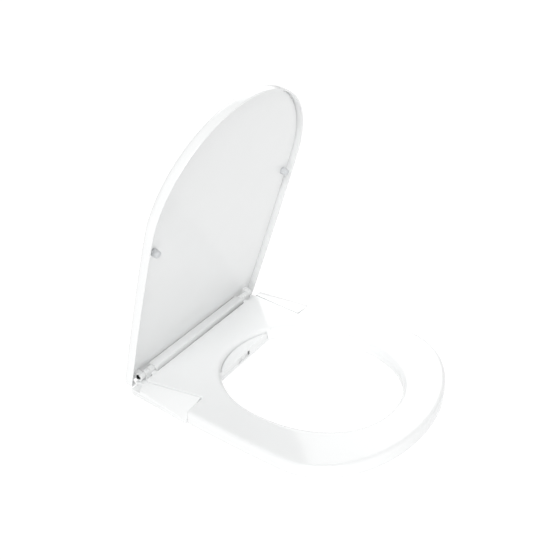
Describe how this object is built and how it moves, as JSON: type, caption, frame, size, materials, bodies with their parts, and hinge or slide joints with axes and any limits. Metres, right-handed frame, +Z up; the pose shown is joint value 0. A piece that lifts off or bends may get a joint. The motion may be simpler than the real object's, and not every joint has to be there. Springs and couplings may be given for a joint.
{
  "type": "electric bidet seat",
  "caption": "Slim white electric bidet seat with an open dished lid, a seat ring with a broad rear deck, and a thin wash unit with sliding nozzles under the deck",
  "frame": {"origin": "midway between the two bowl bolts, on the top face of the bowl (bottom of the mounting plate)", "axes": "+Z up, -Y towards the seat's front, +X to the side with the side buttons, across the seat"},
  "size_m": [0.364, 0.4349, 0.4553],
  "materials": {
    "white_gloss": "glossy moulded",
    "white_satin": "satin moulded",
    "grey_rubber": "matt",
    "grey_plastic": "moulded",
    "black_plastic": "moulded",
    "steel": "brushed",
    "brass": "turned",
    "circuit_board": "coated glass fibre",
    "heating_foil": "film",
    "smoke_lens": "clear moulded"
  },
  "bodies": {
    "wash_unit": {"base_cover": "white_gloss", "hinge_bar_cover": "white_gloss", "base_tray": "white_satin", "nozzle_cradle": "white_satin", "cord_gland": "white_satin", "heater_hose": "grey_rubber", "inlet_hose": "grey_rubber", "mounting_plate": "grey_plastic", "diverter_valve": "grey_plastic", "inlet_valve": "grey_plastic", "seat_damper": "black_plastic", "lid_damper": "black_plastic", "inlet_valve_coil": "black_plastic", "hinge_pin_left": "steel", "hinge_pin_right": "steel", "casing_screw_rear_left": "steel", "casing_screw_rear_right": "steel", "casing_screw_front_left": "steel", "casing_screw_front_right": "steel", "rear_nozzle_motor": "steel", "front_nozzle_motor": "steel", "flow_heater": "steel", "water_inlet_union": "brass", "control_board": "circuit_board", "power_board": "circuit_board", "button_board": "circuit_board", "led_lens": "smoke_lens"},
    "seat": {"seat_top_shell": "white_gloss", "seat_bottom_shell": "white_satin", "seat_heater": "heating_foil", "seat_buffer_rear_left": "grey_rubber", "seat_buffer_rear_right": "grey_rubber", "seat_buffer_front_left": "grey_rubber", "seat_buffer_front_right": "grey_rubber"},
    "lid": {"lid_shell": "white_gloss", "lid_inner_panel": "white_gloss", "lid_buffer_left": "grey_rubber", "lid_buffer_right": "grey_rubber"},
    "rear_nozzle_slide": {"rear_nozzle": "white_satin"},
    "front_nozzle_slide": {"front_nozzle": "white_satin"},
    "rear_pinion": {"rear_nozzle_pinion": "grey_plastic"},
    "front_pinion": {"front_nozzle_pinion": "grey_plastic"},
    "power_key": {"power_button": "white_satin"},
    "rear_wash_key": {"rear_wash_button": "white_satin"},
    "front_wash_key": {"front_wash_button": "white_satin"},
    "release_key": {"release_button": "grey_plastic"}
  },
  "joints": [
    {"name": "seat_hinge", "type": "hinge", "parent": "wash_unit", "child": "seat", "pos_m": [0, 0.0125, 0.029], "axis": [-1, 0, 0], "range_deg": [0, 70.5]},
    {"name": "lid_hinge", "type": "hinge", "parent": "wash_unit", "child": "lid", "pos_m": [0, 0.0125, 0.029], "axis": [-1, 0, 0], "range_deg": [-71.5, 31.5]},
    {"name": "rear_nozzle_travel", "type": "slide", "parent": "wash_unit", "child": "rear_nozzle_slide", "axis": [0, -1, 0], "range_m": [0, 0.05]},
    {"name": "front_nozzle_travel", "type": "slide", "parent": "wash_unit", "child": "front_nozzle_slide", "axis": [0, -1, 0], "range_m": [0, 0.05]},
    {"name": "rear_pinion_spin", "type": "hinge", "parent": "wash_unit", "child": "rear_pinion", "pos_m": [-0.0188, -0.066, 0.01], "axis": [0, 0, 1], "range_deg": [-600, 0]},
    {"name": "front_pinion_spin", "type": "hinge", "parent": "wash_unit", "child": "front_pinion", "pos_m": [0.0188, -0.066, 0.01], "axis": [0, 0, 1], "range_deg": [0, 600]},
    {"name": "power_press", "type": "slide", "parent": "wash_unit", "child": "power_key", "axis": [-1, 0, 0], "range_m": [0, 0.001], "stiffness_N_per_m": 1500, "springref_m": -0.0005},
    {"name": "rear_wash_press", "type": "slide", "parent": "wash_unit", "child": "rear_wash_key", "axis": [-1, 0, 0], "range_m": [0, 0.001], "stiffness_N_per_m": 1500, "springref_m": -0.0005},
    {"name": "front_wash_press", "type": "slide", "parent": "wash_unit", "child": "front_wash_key", "axis": [-1, 0, 0], "range_m": [0, 0.001], "stiffness_N_per_m": 1500, "springref_m": -0.0005},
    {"name": "release_press", "type": "slide", "parent": "wash_unit", "child": "release_key", "axis": [0, -1, 0], "range_m": [0, 0.003], "stiffness_N_per_m": 1000, "springref_m": -0.001}
  ],
  "couplings": [
    {"joint": "rear_pinion_spin", "follows": "rear_nozzle_travel", "rad_per_m": -208.33},
    {"joint": "front_pinion_spin", "follows": "front_nozzle_travel", "rad_per_m": 208.33}
  ]
}
